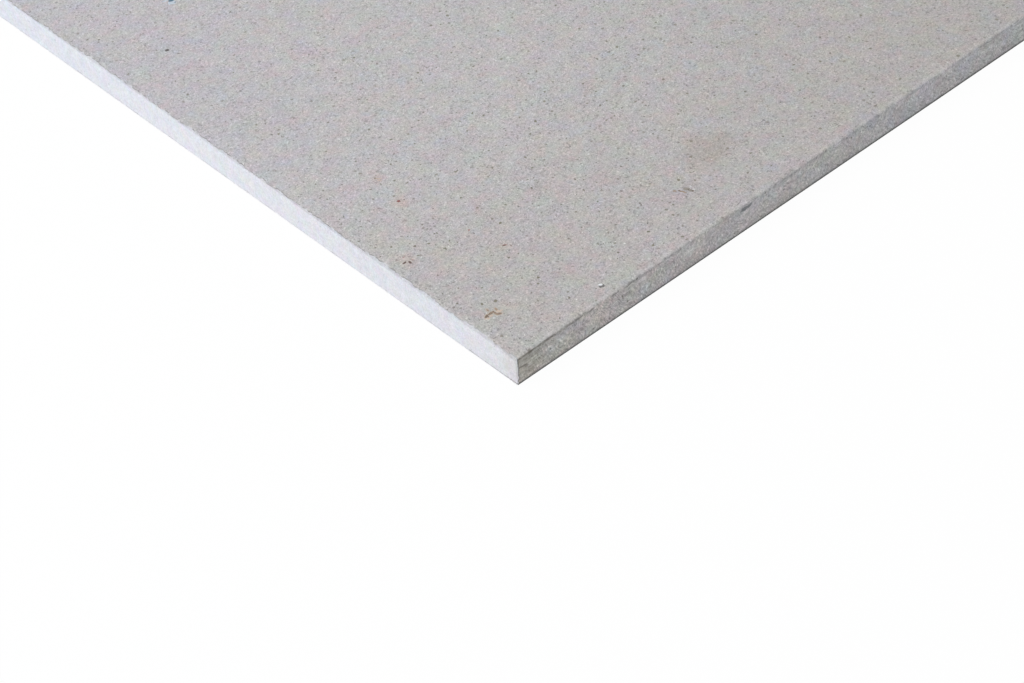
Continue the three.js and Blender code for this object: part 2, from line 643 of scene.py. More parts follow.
# %% [markdown]
# ## The face paper
#
# One closed skin. Near each sawn end there are whole ribs across the sheet, from the torn rim back to where
# the paper lies flat again. The two wrapped edges go on as strips of stations. The flat of the face is
# filled by rectangles, one inside another, whose points lie further apart the further in they are. The
# inside of the paper is hidden.

# %% Model the face paper
settled = 3.2  # past this distance from the cut the paper lies flat
rib_steps = (0, 0.3, 0.8, 1.7)
paper = Skin()


def lay_rib(end, set_back):
    """A chain of outside points right across the paper, set back from one end of the sheet."""
    x = end * (half_length - set_back)
    lifted = fade(set_back - torn_back(run, band_y), 0.7) * unevenness(run, 0, 2.7, seed=15)
    y, z = worn(x, band_y, band_z, out_y, out_z, rounding)
    return paper.lay(x, y, z - np.where(rounding < 0, 0.14 * lifted, 0))


def tucked_in(y, z, amount):
    """Hidden points by the long edges, moved away from the dents of the outer surface."""
    share = amount * soft_step(np.abs(y), half_width - 18, half_width - 1)
    return y - np.sign(y) * share, z - np.where(z > face_level / 2, share, 0)


ends = {}
for end in (-1, 1):
    torn = torn_back(run + 9000 * (end > 0), band_y) * (0.2 + 0.8 * soft_step(band_z, 1.0, 3.0))
    ribs = [lay_rib(end, torn + step * (settled - torn) / settled) for step in rib_steps]
    ribs.append(lay_rib(end, np.full(len(run), settled)))
    paper.weave(ribs)
    inner = paper.lay(end * (half_length - 0.75 * torn), inside_y, inside_z)
    deep_y, deep_z = tucked_in(inside_y, inside_z, spare_depth)
    deep = paper.lay(end * (half_length - full_depth_from), deep_y, deep_z)
    paper.weave([ribs[0], inner], slot=1)
    paper.weave([inner, deep])
    ends[end] = {"ribs": ribs, "last": ribs[-1], "inside": [inner, deep]}

paper.weave([ends[-1]["inside"][1], ends[1]["inside"][1]])
print(f"{len(paper.faces)} faces on the ribs and the inside")

# %% Model the wrapped edges
def lay_strip(side, stations):
    """The outside of one long edge between the last ribs of the two ends, as rows of points."""
    part = slice(0, edge_count) if side < 0 else slice(-edge_count, None)
    x = stations[:, None]
    y, z = worn(x, band_y[part], band_z[part], out_y[part], out_z[part], rounding[part])
    rows = paper.lay(x, y, z)
    rows = np.vstack([ends[-1]["last"][part], rows, ends[1]["last"][part]])
    paper.weave(rows)
    inmost = 0 if side < 0 else -1
    outer = [r[inmost] for r in ends[-1]["ribs"][:-1]] + list(rows[:, inmost])
    outer += [r[inmost] for r in ends[1]["ribs"][-2::-1]]
    inside = [chain[inmost] for chain in ends[-1]["inside"] + ends[1]["inside"][::-1]]
    paper.zip(outer, inside)
    return rows[:, -1] if side < 0 else rows[:, 0]


station_end = half_length - settled
close = np.arange(-station_end + 0.7, -half_length + finely_worn_length, 0.7)
wide = np.linspace(close[-1], station_end, 430)[1:-1]
near_border = lay_strip(-1, np.concatenate([close, wide]))
far_border = lay_strip(1, np.linspace(-station_end, station_end, 900)[1:-1])
print(f"{len(near_border)} stations along one long edge and {len(far_border)} along the other")

# %% Fill the flat of the face
def rectangle(reach_x, reach_y, spacing):
    """Four chains round a flat rectangle, each ending on the first point of the next."""
    corners = [(-reach_x, -reach_y), (-reach_x, reach_y), (reach_x, reach_y), (reach_x, -reach_y)]
    sides = []
    for start, stop in zip(corners, corners[1:] + corners[:1]):
        steps = max(2, round(math.dist(start, stop) / spacing))
        share = np.arange(steps) / steps
        x, y = [a + (b - a) * share for a, b in zip(start, stop)]
        sides.append(paper.lay(x, y, face_level - glue_gap))
    return [np.append(sides[k], sides[(k + 1) % 4][0]) for k in range(4)]


border = [ends[-1]["last"][edge_count - 1:len(run) - edge_count + 1], far_border]
border += [ends[1]["last"][edge_count - 1:len(run) - edge_count + 1][::-1], near_border[::-1]]
for inset, spacing in {1.6: 1.6, 5: 4.0, 20: 16, 70: 60, 190: 150}.items():
    inner = rectangle(station_end - inset, shoulder_y - inset, spacing)
    for outer_side, inner_side in zip(border, inner):
        paper.zip(outer_side, inner_side)
    border = inner
paper.add_faces([np.concatenate([chain[:-1] for chain in border]).tolist()], 0)
print(f"{len(paper.faces)} faces on the whole face paper")

# %% [markdown]
# ## The gypsum core
#
# Only the two sawn ends of the core can be seen. Each is a grid of points over the section, pushed in a
# little by the marks of the saw and by crumbs that broke away, most of all along the rims and at the
# corners. The rest of the core is one plain prism that the paper hides, so its faces run the whole length
# of the sheet.

# %% The section of the core, column by column
def chord(radius, sideways):
    """The height of a circle's edge above its centre, at a place sideways of it."""
    return np.sqrt(np.maximum(radius ** 2 - sideways ** 2, 0))


def core_limits(y):
    """The underside and the top of the core at a place across the sheet."""
    across = np.abs(y)
    flat_top = face_level - paper_thickness
    crease_starts = crease_y + (crease_radius - paper_thickness) * math.sin(shoulder_turn)
    on_shoulder = shoulder_z + chord(shoulder_radius - paper_thickness, across - shoulder_y)
    on_crease = crease_z + chord(crease_radius - paper_thickness, across - crease_y)
    on_fold = fold_z - chord(crease_radius - paper_thickness, across - fold_y)
    over_flap = flap_level + paper_thickness
    top = np.where(across < shoulder_y, flat_top, np.where(across < crease_starts, on_shoulder, on_crease))
    bottom = np.where(across < flap_edge, flap_level, np.where(across < fold_y, over_flap, on_fold))
    return bottom, top


near_columns = half_core - np.array([0, 0.02, 0.1, 0.25, 0.45, 0.8, 1.2, 1.7, 2.3, 3.0, 3.8, 4.6, 5.5])
near_grid = np.arange(flap_edge + 0.6, near_columns[-1], 0.6)
at_flap = np.array([flap_edge - 0.01, flap_edge + 0.01])
fine_middle = np.arange(flap_edge - 0.8, 300, -0.8)
wide_middle = np.linspace(-299, flap_edge - 2, 440)
camera_side = -np.concatenate([near_columns, near_grid[::-1], at_flap[::-1], fine_middle])
other_side = np.concatenate([wide_middle, at_flap, near_grid[::3], near_columns[::-1]])
columns = np.concatenate([camera_side, other_side])
levels = np.array([0, 0.015, 0.05, 0.12, 0.21, 0.31, 0.42, 0.53, 0.64, 0.75, 0.84, 0.91, 0.96, 0.988, 1])
print(f"{len(columns)} columns and {len(levels)} levels over a sawn end")

# %% Model the core
core = Skin()
bottom, top = core_limits(columns)
cap_y = np.broadcast_to(columns, (len(levels), len(columns)))
cap_z = bottom + levels[:, None] * (top - bottom)
to_rim = np.minimum(np.minimum(cap_z - bottom, top - cap_z), half_core - np.abs(cap_y))
rings = []
for end in (-1, 1):
    seed = 40 + end
    crumbled = 0.02 + 0.10 * unevenness(cap_y, cap_z, 3.1, seed) ** 2
    crumbled = crumbled + 0.05 * unevenness(cap_y, cap_z, 1.3, seed + 2)
    rim_wear = fade(to_rim, 0.45) * (0.04 + 0.30 * unevenness(cap_y, cap_z, 1.7, seed + 4) ** 2)
    rim_wear = rim_wear * soft_step(cap_z, 0, 3)
    corner_wear = fade(np.hypot(half_core - np.abs(cap_y), 0.7 * (top - cap_z)), 1.8) * 0.5
    set_back = crumbled + rim_wear + corner_wear * unevenness(cap_y, cap_z, 1.1, seed + 6)
    cap = core.lay(end * (half_length - set_back), cap_y, cap_z)
    core.weave(cap)
    around = np.concatenate([cap[-1], cap[-2:0:-1, -1], cap[0, ::-1], cap[1:-1, 0]])
    order = around - cap[0, 0]
    ring = core.lay(end * (half_length - 1.6), cap_y.ravel()[order], cap_z.ravel()[order])
    core.weave([np.append(around, around[0]), np.append(ring, ring[0])])
    deep_y, deep_z = tucked_in(cap_y.ravel()[order], cap_z.ravel()[order], 1.1 * spare_depth)
    deep = core.lay(end * (half_length - full_depth_from), deep_y, deep_z)
    core.weave([np.append(ring, ring[0]), np.append(deep, deep[0])])
    rings.append(np.append(deep, deep[0]))
core.weave(rings)
print(f"sawn ends worn back by up to {set_back.max():.2f} mm")

# %% [markdown]
# ## The back paper
#
# The back paper is a plain strip, a little narrower than the board, glued over the flaps. Lying face up, a
# sheet shows only the sawn edge of it, as a thin line under the white, so it is a thin closed strip with
# torn ends.

# %% Model the back paper
back = Skin()
strip_y = np.linspace(-half_back_paper, half_back_paper, 1500)
loops = []
for end in (-1, 1):
    torn = 0.10 * torn_back(strip_y + 3000 + 500 * end, 0.8 * strip_y)
    under = back.lay(end * (half_length - torn), strip_y, 0)
    over = back.lay(end * (half_length - 0.6 * torn), strip_y, flap_level)
    back.weave([under, over], slot=1)
    loops.append((under, over))
(under, over), (far_under, far_over) = loops
back.weave([under, far_under])
back.weave([over, far_over])
for side in (0, -1):
    back.weave([[under[side], over[side]], [far_under[side], far_over[side]]], slot=2)
print(f"{len(strip_y)} points across the back paper")

# %% [markdown]
# ## Flecks big enough to have a shape
#
# Most flecks in the liner are pinpoints and belong to the finish. The bigger ones are flakes of bark, print
# and ink pressed flat into the face, and each has its own outline. Painted by a shader they would all be
# round and would blur away when the finish is turned into an image, so they are thin domes with ragged rims
# sunk into the paper.

# %% The kinds of flake
flake_colours = {  # two shades for each kind, and every flake takes its own mixture of them
    "dark": ((0.125, 0.116, 0.114), (0.26, 0.245, 0.24)),
    "brown": ((0.16, 0.115, 0.095), (0.27, 0.205, 0.17)),
    "red": ((0.36, 0.20, 0.18), (0.45, 0.32, 0.30)),
    "blue": ((0.26, 0.30, 0.37), (0.36, 0.40, 0.44)),
    "pale": ((0.72, 0.71, 0.70), (0.62, 0.61, 0.60)),
    "white": ((0.86, 0.86, 0.88), (0.80, 0.80, 0.82)),
    "orange": ((0.33, 0.245, 0.185), (0.40, 0.30, 0.225)),
    "tan": ((0.63, 0.50, 0.41), (0.58, 0.46, 0.385)),
    "halo": ((0.50, 0.445, 0.40), (0.52, 0.455, 0.405)),
    "drab": ((0.30, 0.265, 0.235), (0.36, 0.32, 0.285)),
    "bark": ((0.21, 0.155, 0.12), (0.25, 0.185, 0.145)),
    "umber": ((0.15, 0.105, 0.095), (0.18, 0.13, 0.115)),
    "rust": ((0.24, 0.10, 0.09), (0.30, 0.13, 0.12)),
    "frost": ((0.50, 0.56, 0.63), (0.53, 0.575, 0.635)),
    "ink": ((0.10, 0.17, 0.23), (0.12, 0.20, 0.27)),
}
flake_kinds = list(flake_colours)
print(f"{len(flake_kinds)} kinds of flake")

# %% Shapes for flakes and hairs
paper_top = face_level - glue_gap
flakes = Skin()
chance = np.random.default_rng(5)


def flake(kind, x, y, length, width, turn=0.0, points=9, lift=0.024, flat_share=0.85):
    """A thin flat dome with a ragged rim, turned by so many degrees from the length of the sheet."""
    angle = np.arange(points) * 2 * math.pi / points
    ragged = chance.uniform(0.72, 1.15, points)
    along, across = 0.5 * length * ragged * np.cos(angle), 0.5 * width * ragged * np.sin(angle)
    c, s = math.cos(math.radians(turn)), math.sin(math.radians(turn))
    rim_x, rim_y = x + c * along - s * across, y + s * along + c * across
    rim = flakes.lay(rim_x, rim_y, paper_top - 0.008)
    slot = flake_kinds.index(kind)
    flakes.add_faces([rim[::-1].tolist()], slot)
    if flat_share:
        inner = flakes.lay(x + flat_share * (rim_x - x), y + flat_share * (rim_y - y), paper_top + lift)
        flakes.weave([np.append(rim, rim[0]), np.append(inner, inner[0])], slot)
        flakes.add_faces([inner.tolist()], slot)
    else:
        middle = int(flakes.lay(x, y, paper_top + lift))
        flakes.add_faces([[int(rim[k]), int(rim[(k + 1) % points]), middle] for k in range(points)], slot)


def hair(kind, x, y, length, width, turn=0.0, bend=0.0):
    """A thin curved ridge, three points round and six along, half sunk into the paper."""
    share = np.linspace(-0.5, 0.5, 6)
    heading = math.radians(turn) + math.radians(bend) * share
    step = length / 5
    run_x = np.concatenate([[0], np.cumsum(np.cos(heading[1:]) * step)])
    run_y = np.concatenate([[0], np.cumsum(np.sin(heading[1:]) * step)])
    run_x, run_y = x + run_x - run_x.mean(), y + run_y - run_y.mean()
    taper = 0.5 * width * np.sqrt(np.maximum(1 - (2 * np.abs(share)) ** 3, 0.08))
    left = flakes.lay(run_x - np.sin(heading) * taper, run_y + np.cos(heading) * taper, paper_top - 0.02)
    ridge = flakes.lay(run_x, run_y, paper_top + 0.022)
    right = flakes.lay(run_x + np.sin(heading) * taper, run_y - np.cos(heading) * taper, paper_top - 0.02)
    slot = flake_kinds.index(kind)
    flakes.weave([left, ridge, right, left], slot)
    for k in (0, -1):
        flakes.add_faces([[int(left[k]), int(ridge[k]), int(right[k])]], slot)

# %% [markdown]
# ## The marks by the corner
#
# Some flakes can be told apart one by one, and give this sheet its own face: an orange flake shaped like a
# zigzag near the corner, a few red and blue scraps, a white crumb over a dark flake that is painted as its
# shadow, some hairs. Each is placed by its distance from the sawn end and from the long edge.

# %% Place the marks one by one
def from_corner(x, y):
    return -half_length + x, -half_width + y


zigzag = [  # the place, length, width and turn of each stroke
    (7.3, 22.7, 2.1, 1.0, 17), (9.3, 22.8, 3.0, 1.0, -4), (10.5, 21.9, 2.5, 0.8, -91),
    (11.2, 20.6, 2.2, 1.0, -23), (9.6, 24.8, 1.7, 0.6, -100), (12.0, 23.1, 1.8, 0.7, -102),
]
coats = {  # the layers of the zigzag, from the lowest to the highest
    "halo": [(x, y, length + 1.5, width + 1.5, turn) for x, y, length, width, turn in zigzag],
    "tan": [
        (6.7, 21.6, 2.4, 1.1, -29), (11.8, 21.7, 2.1, 1.4, -46),
        (8.7, 21.7, 1.6, 0.9, -5), (12.9, 21.3, 1.2, 0.8, -25),
    ],
    "orange": [(x, y, 1.1 * length, 1.3 * width, turn) for x, y, length, width, turn in zigzag],
    "bark": [
        (7.3, 22.7, 2.0, 1.0, 20), (8.9, 23.0, 1.3, 0.5, 0),
        (10.6, 22.9, 0.7, 0.6, 0), (10.5, 22.0, 0.8, 0.5, -90),
    ],
    "brown": [(11.2, 20.5, 1.5, 0.7, -30), (7.6, 22.1, 1.0, 0.5, 30), (9.6, 22.5, 0.9, 0.3, 10)],
    "pale": [(8.6, 20.2, 1.2, 0.7, -47), (8.4, 24.0, 1.0, 0.4, 20), (6.4, 21.6, 0.8, 0.5, -47)],
}
lift = 0.003
for kind, marks in coats.items():
    for x, y, length, width, turn in marks:
        flake(kind, *from_corner(x, y), length, width, turn, lift=lift)
        lift += 0.001  # flakes at one level would shade each other where they cross

scraps = {
    "dark": [(23.5, 222, 2.3, 1.7, -30)],
    "brown": [(36, 45.4, 1.9, 0.5, -30)],
    "blue": [(44.5, 244, 1.3, 0.9, 50)],
    "ink": [(44, 246, 2.6, 1.5, -40)],
    "umber": [(6, 63.8, 2.1, 0.9, 0), (7.5, 62.6, 1.9, 1.0, 85)],
    "rust": [(26.3, 90.4, 1.5, 1.5, -25)],
    "red": [(7.7, 66.2, 1.6, 0.5, 10), (9, 63, 1.4, 0.5, -60), (36.5, 45.4, 2.2, 0.8, -40)],
    "orange": [(99.2, 21, 2.6, 0.7, -50), (97.5, 23.1, 1.7, 1.0, -45), (99.5, 19.8, 1.6, 0.5, -45)],
    "tan": [(29.5, 105, 3.0, 0.6, -45), (29, 104, 2.4, 0.5, -50)],
    "drab": [(101.2, 21, 2.6, 1.9, -50), (101.6, 19.3, 2.2, 1.5, -60)],
    "bark": [(98.8, 22, 1.1, 0.8, -45), (102, 18.4, 1.1, 0.8, -30)],
    "pale": [(103.2, 20.8, 1.0, 0.8, -45), (103, 18.8, 1.0, 0.8, -45)],
}
for kind, marks in scraps.items():
    for x, y, length, width, turn in marks:
        flake(kind, *from_corner(x, y), length, width, turn)

flake("frost", *from_corner(43.2, 244.9), 3.8, 3.0, -40, lift=0.012)
flake("frost", *from_corner(42.0, 247.6), 3.0, 0.9, -32, lift=0.015)
# the dark flake under the white crumb, set off to one side, is the crumb's painted shadow
flake("dark", *from_corner(45.0, 5.6), 2.3, 2.2, lift=0.020)
flake("white", *from_corner(45.2, 6.2), 1.6, 1.15, -46, lift=0.029)
flake("white", *from_corner(142.4, 10.4), 0.6, 0.5, lift=0.029)
hair("dark", *from_corner(69.8, 6.0), 3.2, 0.22, 20, 50)
hair("dark", *from_corner(108.6, 2.1), 4.2, 0.4, 15, 30)
hair("dark", *from_corner(66.1, 2.3), 2.4, 0.25, 35, -40)
hair("white", *from_corner(223.4, 47.1), 5.0, 0.35, -85, 60)
hair("red", *from_corner(38.7, 21.9), 4.5, 0.25, -45, -120)
print(f"{len(flakes.faces)} faces on the marks by the corner")

# %% [markdown]
# ## The rest of the flakes and hairs
#
# The rest are scattered over the whole face: thousands of small dark scraps, a few coloured ones and loose
# hairs. The random numbers come from one seeded source, so they fall in the same places each time.

# %% Scatter flakes and hairs over the face
flake_counts = {"dark": 5200, "brown": 1000, "red": 200, "blue": 300, "pale": 1800}
hair_counts = {"dark": 700, "pale": 900}
zigzag_middle = from_corner(10, 22.5)
zigzag_reach = 6


def places(count, from_end):
    """Random places on the flat of the face, no nearer than from_end to a sawn end."""
    far_x = half_length - from_end
    return chance.uniform((-far_x, -shoulder_y), (far_x, shoulder_y), (count, 2))


for kind, count in flake_counts.items():
    for x, y in places(count, from_end=3):
        length = 0.58 + 0.9 * chance.random() ** 2.4
        width = length * chance.uniform(0.4, 0.75)
        if math.dist((x, y), zigzag_middle) > zigzag_reach:
            flake(kind, x, y, length, width, chance.uniform(0, 180), points=6, flat_share=0)
for kind, count in hair_counts.items():
    for x, y in places(count, from_end=4):
        length, width = chance.uniform(1.5, 4.5), chance.uniform(0.12, 0.2)
        turn, bend = chance.uniform(0, 180), chance.uniform(-90, 90)
        hair(kind, x, y, length, width, turn, bend)
print(f"{len(flakes.faces)} faces on all the flakes and hairs")

# %% [markdown]
# ## The grey of recycled paper
#
# Liner paper is made from waste paper, pulped but not bleached, so its grey is a mixture: faint patches of
# pink, green and blue from old print, a fine grain of fibres, and dark and pale flecks that were never
# quite pulped. Each of these is a layer with its own size. Printing it as one image would need a huge
# picture for a sheet this long.

# %% The shade and tints of the paper
def recycled_grey(finish, light, dark):
    """A drifting grey with soft patches of tint, in the small amounts that waste paper leaves."""
    finish.colour = finish.mix(finish.noise(160, detail=1.0, seed=1), light, dark)
    finish.tint(1.0, 0.965 + 0.07 * finish.noise(11, detail=2.0, seed=2))
    wide_tints = finish.noise(8.5, detail=1.5, seed=3, output="Color")
    small_tints = finish.noise(2.6, detail=1.0, seed=4, output="Color")
    pink = finish.noise(6.0, detail=1.5, seed=14).between(0.56, 0.70)
    blue = finish.noise(7.0, detail=1.5, seed=15).between(0.60, 0.72)
    finish.over(0.098, wide_tints)
    finish.over(0.045, small_tints)
    finish.over(0.22 * pink, (0.62, 0.44, 0.45))
    finish.over(0.16 * blue, (0.42, 0.49, 0.64))


def fibre_grain(finish):
    """The fine grain of the paper, around 1: specks, and short dark gaps between clumps of fibre."""
    specks = finish.noise(0.5, detail=1.5, seed=5)
    clumps = finish.noise(1.2, detail=1.0, seed=8)
    bright = finish.noise(1.0, detail=2.0, seed=18).between(0.56, 0.72)
    gaps = finish.noise(0.95, detail=2.0, seed=6).between(0.47, 0.31)
    wide_gaps = finish.noise(1.9, detail=3.0, seed=9).between(0.44, 0.32)
    crowding = finish.noise(6.0, detail=1.0, seed=7).between(0.25, 0.75)
    ground = 0.998 + 1.0 * (specks - 0.5) + 0.30 * (clumps - 0.5) + 0.23 * bright
    return ground - (0.11 + 0.20 * crowding) * gaps - 0.12 * wide_gaps

# %% Flecks and hairs in the paper
def flecks(finish, spacing, smallest, largest, seed):
    """How much of a fleck there is at each place, and each fleck's own strength and random colour."""
    distance = finish.cells(spacing, seed, bent=0.35)
    draw = distance.beside("Color")
    size = smallest + (largest - smallest) * finish.channel(draw, "Red") ** 2
    return (distance * spacing).between(size + 0.06, size - 0.06), finish.channel(draw, "Green"), draw


def hairs(finish, seed):
    """Thin wandering lines where a noise crosses its middle, broken up into short lengths."""
    crossing = abs(finish.noise(5.5, detail=1.0, seed=seed) - 0.5)
    broken = finish.noise(6.5, detail=0.0, seed=seed + 1).between(0.56, 0.66)
    return crossing.between(0.011, 0.002) * broken

# %% Finish the face paper
liner = Finish("face_paper", roughness=0.93)
from_end, from_side = from_edges(liner)
on_face = from_side.between(0.1, 1.5)
by_corner = from_end.between(230, 60) * from_side.between(230, 60)

grain = fibre_grain(liner)
recycled_grey(liner, (0.548, 0.515, 0.514), (0.532, 0.497, 0.494))
liner.tint(1.0, grain)

small_flecks, strength, _ = flecks(liner, 1.25, 0.06, 0.26, seed=11)
liner.over((0.5 + 0.18 * on_face + 0.32 * by_corner) * small_flecks * strength ** 2, (0.12, 0.11, 0.11))
large_flecks, strength, draw = flecks(liner, 2.35, 0.12, 0.50, seed=12)
shown = large_flecks * (0.30 + 0.65 * strength) * (0.85 - 0.05 * on_face + 0.20 * by_corner)
liner.over(shown, liner.mix(0.06, (0.14, 0.13, 0.13), draw))
dull_flecks, strength, draw = flecks(liner, 2.05, 0.24, 0.62, seed=16)
shown = (0.78 + 0.22 * by_corner) * dull_flecks * strength ** 2 * on_face
liner.over(shown, liner.mix(0.06, (0.17, 0.155, 0.15), draw))
pale_flecks, strength, _ = flecks(liner, 1.5, 0.10, 0.32, seed=13)
liner.over((0.42 + 0.32 * on_face + 0.26 * by_corner) * pale_flecks * strength ** 2, (0.80, 0.79, 0.77))
liner.over(0.35 * hairs(liner, seed=21), (0.18, 0.17, 0.17))
liner.over(0.30 * hairs(liner, seed=24), (0.74, 0.72, 0.70))
liner.report()

# %% Stain the face and paint its light falloff
def smudge(finish, x, y, reach):
    """1 at a place measured from the corner, fading unevenly to 0 about reach millimetres away."""
    off_x, off_y = finish.axis("X") + (half_length - x), finish.axis("Y") + (half_width - y)
    distance = (off_x * off_x + off_y * off_y) ** 0.5
    ragged = finish.noise(0.5 * reach, detail=2.0, seed=81) - 0.5
    return (distance + reach * ragged).between(reach, 0.3 * reach)


for x, y, reach, strength in ((122, 30, 15, 1.0), (102, 20, 6, 0.25), (66, 60, 5, 0.7)):
    liner.tint(strength * smudge(liner, x, y, reach), (0.912, 0.888, 0.862))
for x, y, reach in ((29.5, 105, 4), (25.8, 90.2, 5), (7.5, 64.0, 5), (36.5, 45.4, 4)):
    liner.tint(smudge(liner, x, y, reach), (1.03, 0.95, 0.93))

# painted light falloff: the face is darker away from the sawn end and towards the long edges, and cooler
# near the sawn end, where the cool lamp is nearest
painted_shade_inboard = from_end.between(60, 260)
painted_cool_light = from_end.between(90, 10) * from_side.between(60, 220)
painted_shade_by_edge = from_side.between(130, 10)
liner.tint(painted_shade_inboard, (0.965, 0.968, 0.962))
liner.tint(painted_cool_light, (0.975, 0.972, 1.01))
liner.tint(painted_shade_by_edge, (0.958, 0.942, 0.925))
liner.report()

# %% [markdown]
# ## The wrapped edge looks different
#
# Wetted, bent and pressed, the paper on a long edge is wrinkled across its thickness, like fine combing. It
# has a brown stain near a sawn corner. A faint highlight is painted along its crest, and painted shade lies
# below the crest near that corner and along the bottom, where the side meets the floor. The same finish
# carries on round the crease, so these are added to it with masks that are 0 on the flat face and rise to 1
# on the side.

# %% Wrinkle the wrapped edge
inset, height = before_knock(liner)
along = liner.axis("X")
on_side = inset.between(0.55, 0.1)
near_sawn_end = from_end.between(130, 15)

wander = liner.noise(15.0, detail=1.0, seed=41)
lean = liner.joined(along + (2.6 * wander - 0.75) * height, 0.33 * height, 0.22 * (half_width - inset))
combing = liner.noise(0.60, detail=2.0, place=lean, seed=31)
lumps = liner.noise(2.6, detail=1.0, seed=32)
waves = liner.noise(7.0, detail=1.0, seed=38)
layers = liner.noise(1.0, detail=1.5, place=liner.joined(0.16 * along, 1.5 * height, 0), seed=36)
wrinkles = (1.15 + 0.40 * near_sawn_end) * (combing - 0.5) + (0.20 + 0.22 * near_sawn_end) * (lumps - 0.5)
wrinkles = wrinkles + 0.33 * (waves - 0.5) + 1.4 * from_end.between(20, 9) * (layers - 0.5)
liner.tint(1.0, 1 + on_side * wrinkles)
liner.report()

# %% Paint a highlight on its crest and shade below it
# painted highlight along the crest, and painted shade just below it, in ragged patches
highlight_and_shade_patches = liner.noise(5.0, detail=2.0, place=liner.joined(along, 0.45 * height, 0), seed=34)
painted_highlight_on_crest = inset.between(1.9, 1.1) * height.between(face_level - 0.75, face_level - 0.35)
liner.over(0.20 * painted_highlight_on_crest * highlight_and_shade_patches.between(0.36, 0.56), (0.78, 0.75, 0.74))
painted_shade_below_crest = on_side * height.between(face_level - 3.0, face_level - 1.2)
liner.over(0.22 * painted_shade_below_crest * highlight_and_shade_patches.between(0.62, 0.42), (0.20, 0.19, 0.19))
under_crest_shade_band = on_side * height.between(face_level - 1.8, face_level - 1.2)
under_crest_shade_band = under_crest_shade_band * height.between(face_level - 0.5, face_level - 0.9)
painted_shade_nicks = under_crest_shade_band * liner.noise(2.0, detail=1.0, seed=37).between(0.50, 0.38)
liner.over((0.16 + 0.39 * near_sawn_end) * painted_shade_nicks, (0.13, 0.12, 0.12))
liner.tint(on_side, (0.965, 0.978, 0.99))
liner.tint(on_side * from_end.between(75, 40), (1.03, 1.02, 0.99))
liner.tint(on_side * from_end.between(110, 190), (0.998, 1.01, 1.04))
powder = from_end.between(1.4, 0.5) * inset.between(90, 10) * height.between(11, 12)
powder = powder * liner.noise(1.7, detail=2.0, seed=39).between(0.42, 0.60)
liner.over(0.42 * powder, (0.78, 0.76, 0.78))
liner.report()

# %% Stain and scrape it near the corner, and paint its shade
stain = on_side * from_end.between(17, 4)
stain = stain * (0.45 + 0.55 * liner.noise(3.5, detail=2.0, seed=33).between(0.38, 0.62))
liner.over(0.62 * stain, (0.295, 0.262, 0.20))
crest_shadow = on_side * from_end.between(32, 9) * height.between(10.6, 11.4) * height.between(12.2, 11.8)
crest_shadow = crest_shadow * liner.noise(2.2, detail=2.0, seed=35).between(0.38, 0.56)
liner.over(0.85 * crest_shadow, (0.14, 0.125, 0.11))
# painted shade, carrying the crest's shadow further down the side near the corner
shade_further_below_crest = on_side * from_end.between(24, 6) * height.between(7.0, 9.5)
liner.over(0.30 * shade_further_below_crest, (0.15, 0.135, 0.115))

from_near_end = along + half_length
ragged = 1.6 * (liner.noise(1.2, detail=1.0, seed=40) - 0.5)
scrape = on_side * abs(from_near_end - 110.3 + ragged).between(3.3, 2.0)
scrape = scrape * abs(height - 10.3 + ragged).between(1.0, 0.45)
liner.over(0.85 * scrape, (0.105, 0.115, 0.12))
# painted shade of a notch in the crest near the corner
notch_shade = abs(from_near_end - 6.7 + ragged).between(1.1, 0.2) * height.between(9.8, 11.4)
liner.over(0.70 * notch_shade * inset.between(1.3, 0.6), (0.15, 0.135, 0.11))
crack = from_end.between(6.5, 4.0) * abs(height - 7.5 + 0.17 * from_end + 0.3 * ragged).between(0.60, 0.25)
liner.over(0.75 * on_side * crack, (0.12, 0.105, 0.09))
# painted shade along the bottom of the side, where it meets the floor, stronger away from the sawn end
painted_shade_at_foot = on_side * height.between(1.5, 0.5)
liner.over((0.94 - 0.36 * from_end.between(240, 40)) * painted_shade_at_foot, (0.17, 0.165, 0.17))
liner.paint()
liner.report()

# %% Give the paper its relief
fleck_rise = 0.35 * large_flecks + 0.2 * small_flecks
liner.relief(0.6 * grain + fleck_rise + on_side * (0.9 * combing + 1.2 * lumps), 0.05)
liner.report()

# %% [markdown]
# ## Cut paper, back paper and gypsum
#
# The raw rim of the paper is darker than its face, because light sinks in between the fibres, and it is
# dusted with gypsum from the saw. Where the rim stands upright at a long edge, shade is painted on it. The
# side of the back paper is painted dark, as the shade where the sheet meets the floor. The back paper is a
# plainer, browner liner. Cut gypsum is white with a faint mottling, with tiny pores left by bubbles, and it
# is matt, so its roughness is high. It is painted a little darker further from the long edge, as shade.

# %% Finish the cut rims and the back paper
def torn_rim(name, dark, dusted, dust, white_foot=0.85):
    """The raw rim of a paper: dusted in patches, with painted shade where it stands upright, white along its
    foot.
    """
    finish = Finish(name, roughness=0.97)
    from_end, from_side = from_edges(finish)
    patches = finish.noise(2.2, detail=2.0, seed=41).between(1 - dust, 1.25 - dust)
    patches = patches + 0.5 * from_side.between(90, 0) * from_end.between(90, 0) * (1 - patches)
    fuzz = 0.8 + 0.4 * finish.noise(0.4, detail=1.0, seed=42)
    finish.colour = finish.mix(patches, dark, dusted)
    finish.tint(1.0, fuzz)
    inset, height = before_knock(finish)
    # painted shade on the rim where it stands upright at a long edge
    upright = inset.between(0.8, 0.5) * height.between(12.4, 11.6)
    finish.over((0.62 + 0.3 * height.between(7.5, 9.5)) * upright, (0.09, 0.085, 0.08))
    finish.over(white_foot * finish.axis("Z").between(1.6, 1.0), (0.83, 0.82, 0.86))
    finish.paint()
    finish.relief(fuzz, 0.05)
    return finish.material


face_rim = torn_rim("face_paper_rim", (0.33, 0.315, 0.31), (0.66, 0.65, 0.66), dust=0.58)
back_rim = torn_rim("back_paper_rim", (0.74, 0.72, 0.76), (0.87, 0.87, 0.91), dust=0.70)
